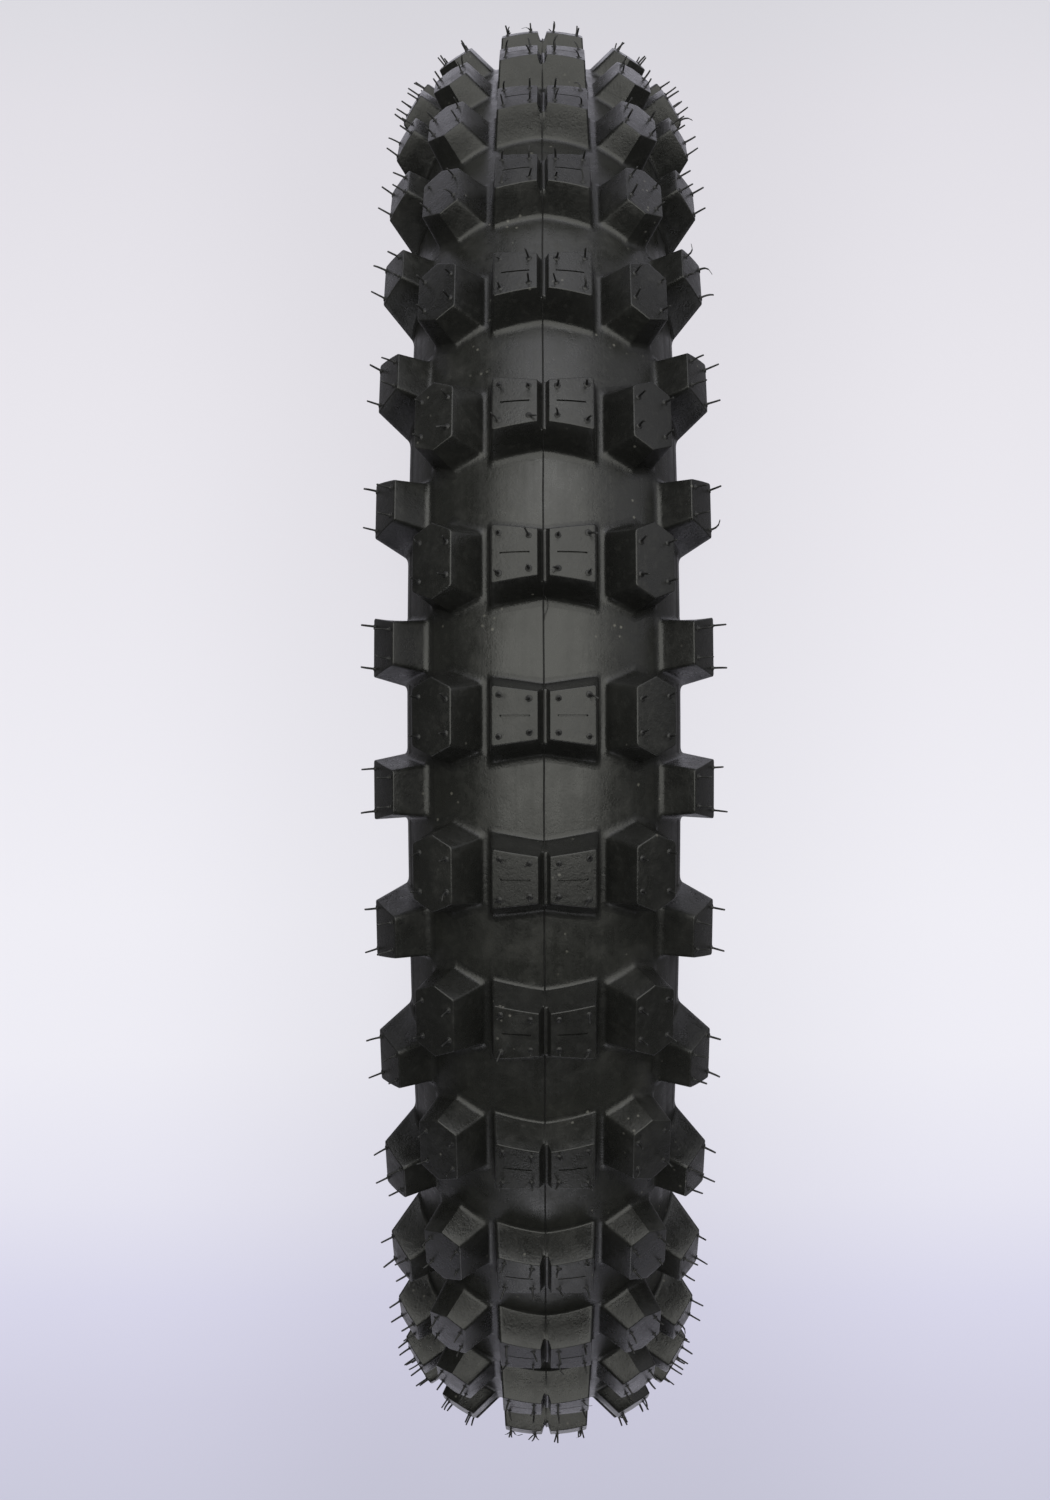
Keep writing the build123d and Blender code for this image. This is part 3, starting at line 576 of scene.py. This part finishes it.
def noise(tree, vector, scale, detail=4.0, rough=0.55, distort=0.0):
    n = tree.nodes.new("ShaderNodeTexNoise")
    n.inputs["Scale"].default_value = scale
    n.inputs["Detail"].default_value = detail
    n.inputs["Roughness"].default_value = rough
    n.inputs["Distortion"].default_value = distort
    tree.links.new(vector, n.inputs["Vector"])
    return n.outputs["Fac"]


def ramp(tree, value, low, high, a=0.0, b=1.0):
    n = tree.nodes.new("ShaderNodeMapRange")
    n.interpolation_type = "SMOOTHSTEP"
    n.inputs["From Min"].default_value = low
    n.inputs["From Max"].default_value = high
    n.inputs["To Min"].default_value = a
    n.inputs["To Max"].default_value = b
    tree.links.new(value, n.inputs["Value"])
    return n.outputs["Result"]


def maths(tree, kind, a, b=0.0):
    n = tree.nodes.new("ShaderNodeMath")
    n.operation = kind
    for socket, value in zip(n.inputs, (a, b)):
        if isinstance(value, (int, float)):
            socket.default_value = value
        else:
            tree.links.new(value, socket)
    return n.outputs[0]


def blend_colour(tree, share, a, b):
    n = tree.nodes.new("ShaderNodeMix")
    n.data_type = "RGBA"
    tree.links.new(share, n.inputs[0])
    for socket, value in ((n.inputs[6], a), (n.inputs[7], b)):
        if isinstance(value, tuple):
            socket.default_value = (*value, 1.0)
        else:
            tree.links.new(value, socket)
    return n.outputs[2]


def bump(tree, height, distance, strength=1.0, after=None):
    n = tree.nodes.new("ShaderNodeBump")
    n.inputs["Strength"].default_value = strength
    n.inputs["Distance"].default_value = distance
    tree.links.new(height, n.inputs["Height"])
    if after is not None:
        tree.links.new(after, n.inputs["Normal"])
    return n.outputs["Normal"]


def tire_coordinates(tree):
    """Plain object coordinates, and round-the-tire ones in metres: (along the tread, across, radius)."""
    geo = tree.nodes.new("ShaderNodeTexCoord")
    split = tree.nodes.new("ShaderNodeSeparateXYZ")
    tree.links.new(geo.outputs["Object"], split.inputs[0])
    x, y, z = split.outputs
    turn = maths(tree, "ARCTAN2", x, z)
    squares = maths(tree, "ADD", maths(tree, "MULTIPLY", x, x), maths(tree, "MULTIPLY", z, z))
    join = tree.nodes.new("ShaderNodeCombineXYZ")
    tree.links.new(maths(tree, "MULTIPLY", turn, 0.33), join.inputs[0])
    tree.links.new(y, join.inputs[1])
    tree.links.new(maths(tree, "SQRT", squares), join.inputs[2])
    return geo.outputs["Object"], join.outputs[0]


def stretched(tree, vector, scale):
    n = tree.nodes.new("ShaderNodeMapping")
    n.inputs["Scale"].default_value = scale
    tree.links.new(vector, n.inputs["Vector"])
    return n.outputs[0]


def rubber(name, dark, light, dust, rough, grain, streaks=0.0, dust_level=0.57, shine=0.34):
    """Moulded black rubber: two close blacks, dry bloom, dust specks, fine grain and mould streaks."""
    mat, tree, bsdf = nodes_of(name)
    place_at, round_at = tire_coordinates(tree)
    broad = noise(tree, place_at, 9.0, 5.0, 0.6)
    middle = noise(tree, place_at, 70.0, 6.0, 0.65, 0.4)
    fine = noise(tree, place_at, 1100.0, 3.0, 0.65)
    grit = noise(tree, place_at, 330.0, 5.0, 0.75)

    tone = blend_colour(tree, ramp(tree, broad, 0.3, 0.7), dark, light)
    film = maths(tree, "MULTIPLY", ramp(tree, middle, 0.45, 0.75), ramp(tree, broad, 0.4, 0.68))
    tone = blend_colour(tree, maths(tree, "MULTIPLY", film, 0.55), tone, dust)
    tone = blend_colour(tree, ramp(tree, grit, 0.5, 0.72, 0.0, 0.35), tone, dust)
    specks = tree.nodes.new("ShaderNodeTexVoronoi")
    specks.inputs["Scale"].default_value = 230.0
    tree.links.new(place_at, specks.inputs["Vector"])
    near = ramp(tree, specks.outputs["Distance"], 0.07, 0.16, 1.0, 0.0)
    chosen = ramp(tree, noise(tree, place_at, 37.0, 2.0), dust_level, dust_level + 0.06)
    speck = maths(tree, "MULTIPLY", maths(tree, "MULTIPLY", near, chosen), 0.7)
    tone = blend_colour(tree, speck, tone, (dust[0] * 3.6, dust[1] * 3.5, dust[2] * 3.4))
    tree.links.new(tone, bsdf.inputs["Base Color"])

    uneven = ramp(tree, middle, 0.3, 0.75, rough - 0.06, rough + 0.09)
    uneven = maths(tree, "ADD", uneven, ramp(tree, grit, 0.3, 0.7, -0.05, 0.05))
    uneven = maths(tree, "ADD", uneven, maths(tree, "MULTIPLY", film, 0.10))
    uneven = maths(tree, "ADD", uneven, maths(tree, "MULTIPLY", speck, 0.25))
    relief = bump(tree, fine, 0.00009, grain)
    relief = bump(tree, grit, 0.0002, 0.6 * grain, relief)
    relief = bump(tree, middle, 0.00025, 0.55, relief)
    if streaks:
        drawn = noise(tree, stretched(tree, round_at, (5.0, 420.0, 60.0)), 1.0, 4.0, 0.6)
        worn = ramp(tree, drawn, 0.35, 0.7, -0.05 * streaks, 0.07 * streaks)
        uneven = maths(tree, "ADD", uneven, worn)
        relief = bump(tree, drawn, 0.00012, 0.6 * streaks, relief)
    tree.links.new(uneven, bsdf.inputs["Roughness"])
    tree.links.new(relief, bsdf.inputs["Normal"])
    bsdf.inputs["Specular IOR Level"].default_value = shine
    bsdf.inputs["IOR"].default_value = 1.52
    return mat


def cord(name, base, gap, angle):
    """Rubbered nylon cord: fine parallel ribs laid on a bias."""
    mat, tree, bsdf = nodes_of(name)
    place_at, round_at = tire_coordinates(tree)
    wave = tree.nodes.new("ShaderNodeTexWave")
    wave.inputs["Scale"].default_value = 320.0
    wave.inputs["Distortion"].default_value = 0.6
    turned = tree.nodes.new("ShaderNodeMapping")
    turned.inputs["Rotation"].default_value = (0, 0, math.radians(angle))
    tree.links.new(round_at, turned.inputs["Vector"])
    tree.links.new(turned.outputs[0], wave.inputs["Vector"])
    patch = noise(tree, place_at, 60.0, 4.0)
    tone = blend_colour(tree, wave.outputs["Fac"], gap, base)
    tone = blend_colour(tree, ramp(tree, patch, 0.5, 0.75, 0.0, 0.6), tone, gap)
    tree.links.new(tone, bsdf.inputs["Base Color"])
    tree.links.new(ramp(tree, patch, 0.3, 0.7, 0.6, 0.8), bsdf.inputs["Roughness"])
    tree.links.new(bump(tree, wave.outputs["Fac"], 0.0002, 0.8), bsdf.inputs["Normal"])
    return mat


def wire(name):
    """Bronze-coated bead wire, drawn lengthwise and a little dulled."""
    mat, tree, bsdf = nodes_of(name)
    place_at, round_at = tire_coordinates(tree)
    drawn = noise(tree, stretched(tree, round_at, (12.0, 2600.0, 2600.0)), 1.0, 4.0)
    dull = noise(tree, place_at, 90.0, 4.0)
    tone = blend_colour(tree, ramp(tree, dull, 0.4, 0.7), (0.62, 0.50, 0.33), (0.40, 0.33, 0.24))
    tree.links.new(tone, bsdf.inputs["Base Color"])
    bsdf.inputs["Metallic"].default_value = 1.0
    tree.links.new(ramp(tree, drawn, 0.3, 0.7, 0.28, 0.45), bsdf.inputs["Roughness"])
    tree.links.new(bump(tree, drawn, 0.00003, 0.6), bsdf.inputs["Normal"])
    return mat


tread_skin = rubber(
    "tread_floor_rubber",
    dark=(0.0085, 0.0087, 0.0079), light=(0.0125, 0.0128, 0.0115), dust=(0.026, 0.026, 0.023),
    rough=0.32, grain=0.6, streaks=0.55,
)
knob_skin = rubber(
    "knob_rubber",
    dark=(0.0072, 0.0073, 0.0069), light=(0.0108, 0.0110, 0.0102), dust=(0.026, 0.026, 0.024),
    rough=0.31, grain=1.0, shine=0.29,
)
side_skin = rubber(
    "sidewall_rubber",
    dark=(0.0100, 0.0100, 0.0098), light=(0.0145, 0.0145, 0.0140), dust=(0.032, 0.032, 0.031),
    rough=0.44, grain=0.30, streaks=0.7,
)
vent_skin = rubber(
    "vent_rubber",
    dark=(0.005, 0.005, 0.005), light=(0.008, 0.008, 0.0078), dust=(0.015, 0.015, 0.015),
    rough=0.55, grain=0.2,
)
# the fin's own black rubber, made darker than the tread rubber as painted shade along the fin
seam_skin = rubber(
    "seam_rubber",
    dark=(0.006, 0.006, 0.0058), light=(0.009, 0.009, 0.0085), dust=(0.02, 0.02, 0.018),
    rough=0.6, grain=0.3,
)
cuff_skin = rubber(
    "chafer_rubber",
    dark=(0.012, 0.012, 0.012), light=(0.018, 0.018, 0.018), dust=(0.035, 0.035, 0.033),
    rough=0.55, grain=0.8, streaks=0.3,
)
liner_skin = rubber(
    "liner_rubber",
    dark=(0.016, 0.016, 0.016), light=(0.024, 0.024, 0.023), dust=(0.06, 0.06, 0.058),
    rough=0.40, grain=0.35, streaks=0.9, dust_level=0.58,
)
filler_skin = rubber(
    "filler_rubber",
    dark=(0.022, 0.022, 0.022), light=(0.030, 0.030, 0.030), dust=(0.05, 0.05, 0.05),
    rough=0.6, grain=0.5,
)
CORD_GAP = (0.05, 0.045, 0.04)
outer_cord = cord("outer_ply_cord", (0.40, 0.33, 0.23), CORD_GAP, 34)
inner_cord = cord("inner_ply_cord", (0.42, 0.35, 0.25), CORD_GAP, -34)
breaker_cord = cord("breaker_cord", (0.36, 0.31, 0.23), CORD_GAP, 58)
bead_steel = wire("bead_steel")

skins = {
    "tread_base": (tread_skin, "tread_rubber"),
    "mould_seam": (seam_skin, "tread_rubber"),
    "centre_knobs": (knob_skin, "tread_rubber"),
    "inner_liner": (liner_skin, "liner_rubber"),
    "vent_whiskers_centre": (vent_skin, "vent_rubber"),
}
for hand in ("left", "right"):
    skins["intermediate_knobs_" + hand] = (knob_skin, "tread_rubber")
    skins["shoulder_knobs_" + hand] = (knob_skin, "tread_rubber")
    skins["sidewall_" + hand] = (side_skin, "sidewall_rubber")
    skins["rim_line_" + hand] = (side_skin, "sidewall_rubber")
    skins["chafer_" + hand] = (cuff_skin, "chafer_rubber")
    skins["vent_whiskers_intermediate_" + hand] = (vent_skin, "vent_rubber")
    skins["vent_whiskers_shoulder_" + hand] = (vent_skin, "vent_rubber")
for node, obj in pieces.items():
    skin, slot = skins[node]
    obj.data.materials.append(skin)
    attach(obj, "root")
    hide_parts(node)

# pieces inside the casing keep their own solids
hidden = {
    "carcass_ply_outer": outer_cord,
    "carcass_ply_inner": inner_cord,
    "crown_breaker": breaker_cord,
    "bead_filler_left": filler_skin,
    "bead_filler_right": filler_skin,
    "bead_wrap_left": filler_skin,
    "bead_wrap_right": filler_skin,
    "bead_wires_left": bead_steel,
    "bead_wires_right": bead_steel,
}
for node, skin in hidden.items():
    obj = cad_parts[node]
    obj.data.materials.clear()
    obj.data.materials.append(skin)

# ---------------------------------------------------------------- floor
FLOOR_Z = -0.3450
HALF_FLOOR = 6.0
CELLS = 12
FADE_START = -0.6
FADE_SCALE = 0.8333
# (share of the fade, red, green, blue), from behind the tire to in front of it: the painted fall-off of
# light over the glowing paper
PAINTED_LIGHT_FALLOFF = [
    (0.0, 0.61, 0.61, 0.65),
    (0.13, 0.71, 0.69, 0.74),
    (0.30, 0.78, 0.76, 0.81),
    (0.60, 0.86, 0.85, 0.91),
    (0.68, 0.85, 0.84, 0.91),
    (0.76, 0.77, 0.76, 0.87),
    (0.82, 0.66, 0.65, 0.81),
    (0.88, 0.59, 0.58, 0.73),
    (0.96, 0.53, 0.53, 0.66),
]


def link_by_ray(tree, seen, otherwise, output):
    """Shows one shader to the camera and the other one to every other ray."""
    choose = tree.nodes.new("ShaderNodeMixShader")
    tree.links.new(tree.nodes.new("ShaderNodeLightPath").outputs["Is Camera Ray"], choose.inputs[0])
    tree.links.new(otherwise.outputs[0], choose.inputs[1])
    tree.links.new(seen.outputs[0], choose.inputs[2])
    tree.links.new(choose.outputs[0], tree.nodes[output].inputs[0])


# the paper as the tire reflects it: painted bright ahead and behind and painted dark at the sides, to set
# the light and shade of the tire's reflections
mat, tree, bsdf = nodes_of("floor_paper")
where = tree.nodes.new("ShaderNodeTexCoord").outputs["Object"]
split = tree.nodes.new("ShaderNodeSeparateXYZ")
tree.links.new(where, split.inputs[0])
along, beside = split.outputs[0], maths(tree, "ABSOLUTE", split.outputs[1])
ends = maths(tree, "SUBTRACT", maths(tree, "ABSOLUTE", along), beside)
patchy = ramp(tree, noise(tree, where, 1.6, 3.0), 0.3, 0.7)
tone = blend_colour(tree, patchy, (0.66, 0.65, 0.77), (0.70, 0.69, 0.81))
# painted shade: the paper is darker at the sides only for reflections and bounce light
tone = blend_colour(tree, ramp(tree, ends, -0.4, 0.8), (0.20, 0.195, 0.22), tone)
tree.links.new(tone, bsdf.inputs["Base Color"])
tree.links.new(ramp(tree, noise(tree, where, 40.0, 4.0), 0.3, 0.7, 0.75, 0.9), bsdf.inputs["Roughness"])
tree.links.new(bump(tree, noise(tree, where, 300.0, 4.0), 0.0003, 0.15), bsdf.inputs["Normal"])
bsdf.inputs["Specular IOR Level"].default_value = 0.1

# the paper as the camera sees it: a glow painted as light, with a painted fall-off from behind the tire to
# in front of it, painted shade beside the tire and a painted contact shadow
# painted light: the paper's glow colour follows the fall-off table
glow = tree.nodes.new("ShaderNodeValToRGB")
fade = maths(tree, "MULTIPLY", maths(tree, "SUBTRACT", along, FADE_START), FADE_SCALE)
tree.links.new(fade, glow.inputs[0])
stops = glow.color_ramp.elements
for i, (at, red, green, blue) in enumerate(PAINTED_LIGHT_FALLOFF):
    stop = stops[i] if i < 2 else stops.new(at)
    stop.position = at
    stop.color = (red, green, blue, 1.0)
# painted contact shadow: ambient occlusion dims the paper's glow near the tire
contact = tree.nodes.new("ShaderNodeAmbientOcclusion")
contact.samples = 8
contact.inputs["Distance"].default_value = 0.14
shade = ramp(tree, contact.outputs["AO"], 0.0, 0.8, 0.30, 1.0)
paper = tree.nodes.new("ShaderNodeEmission")
tree.links.new(glow.outputs[0], paper.inputs["Color"])
# painted shade: the paper's glow is dimmer close beside the tire, and is also multiplied by the painted
# contact shadow
strength = maths(tree, "MULTIPLY", ramp(tree, beside, 0.10, 0.30, 0.80, 0.86), shade)
tree.links.new(strength, paper.inputs["Strength"])
matt = tree.nodes.new("ShaderNodeBsdfDiffuse")
matt.inputs["Color"].default_value = (0.12, 0.12, 0.13, 1.0)
seen = tree.nodes.new("ShaderNodeAddShader")
tree.links.new(paper.outputs[0], seen.inputs[0])
tree.links.new(matt.outputs[0], seen.inputs[1])
link_by_ray(tree, seen, bsdf, "Material Output")

stations = [-HALF_FLOOR + 2 * HALF_FLOOR * i / CELLS for i in range(CELLS + 1)]
floor_faces = [
    (i * (CELLS + 1) + j, (i + 1) * (CELLS + 1) + j, (i + 1) * (CELLS + 1) + j + 1, i * (CELLS + 1) + j + 1)
    for i in range(CELLS)
    for j in range(CELLS)
]
floor = add_mesh("floor", [(x, y, FLOOR_Z) for x in stations for y in stations], floor_faces)
floor.data.materials.append(mat)

# ---------------------------------------------------------------- light
world = bpy.data.worlds.new("studio")
bpy.context.scene.world = world
world.use_nodes = True
tree = world.node_tree
facing = tree.nodes.new("ShaderNodeTexCoord").outputs["Generated"]

ROOM_LEVEL = 0.07
# soft bright patches of the room: (direction, cosine where it starts, cosine where it is full, level)
PATCHES = (
    ((-0.88, 0.05, 0.47), 0.84, 0.97, 2.3),
    ((-0.45, 0.82, 0.35), 0.84, 0.98, 0.9),
    ((0.995, 0.0, 0.02), 0.92, 0.99, 2.4),
)
room = ROOM_LEVEL
for direction, start, full, level in PATCHES:
    towards = tree.nodes.new("ShaderNodeVectorMath")
    towards.operation = "DOT_PRODUCT"
    tree.links.new(facing, towards.inputs[0])
    towards.inputs[1].default_value = Vector(direction).normalized()
    room = maths(tree, "ADD", ramp(tree, towards.outputs["Value"], start, full, 0.0, level), room)
unseen = tree.nodes.new("ShaderNodeBackground")
unseen.inputs["Color"].default_value = (0.95, 0.95, 1.0, 1.0)
tree.links.new(room, unseen.inputs["Strength"])
background = tree.nodes["Background"]
background.inputs["Color"].default_value = (0.75, 0.74, 0.80, 1.0)
background.inputs["Strength"].default_value = 1.0
link_by_ray(tree, background, unseen, "World Output")

light = bpy.data.lights.new("softbox", "AREA")
light.shape = "RECTANGLE"
light.size = 3.4
light.size_y = 3.6
light.energy = 122.0
light.color = (1.0, 1.0, 0.935)
softbox = bpy.data.objects.new("softbox", light)
bpy.context.scene.collection.objects.link(softbox)
softbox.location = (-0.85, 0.12, 2.6)

# ---------------------------------------------------------------- camera, looking straight down on the tire
DISTANCE = 2.8945 * OUTER * MM
SIDE_STEP = 0.0003
ROW_TURN = 0.01944
PITCH_TURN = -0.00656
YAW = 0.00119
ROLL = -0.00289


def turned_pair(a, b, angle):
    """Two directions at right angles, turned in their own plane."""
    return a * math.cos(angle) + b * math.sin(angle), b * math.cos(angle) - a * math.sin(angle)


toward = Vector((math.sin(ROW_TURN), 0, math.cos(ROW_TURN)))
up = Vector((-math.cos(ROW_TURN), 0, math.sin(ROW_TURN)))
forward, up = turned_pair(-toward, up, PITCH_TURN)
forward, right = turned_pair(forward, Vector((0, 1, 0)), YAW)
right, up = turned_pair(right, up, ROLL)
camera = bpy.data.cameras.new("camera")
camera.sensor_fit = "VERTICAL"
camera.sensor_height = 36.0
camera.lens = 45.79
camera.shift_x = -0.01475
camera.shift_y = -0.00168
camera.clip_start = 0.05
camera.clip_end = 30.0
camera_obj = bpy.data.objects.new("camera", camera)
bpy.context.scene.collection.objects.link(camera_obj)
basis = Matrix((right, up, -forward)).transposed().to_4x4()
basis.translation = toward * DISTANCE + Vector((0, SIDE_STEP, 0))
camera_obj.matrix_world = basis
bpy.context.scene.camera = camera_obj
bpy.context.scene.view_settings.view_transform = "Standard"
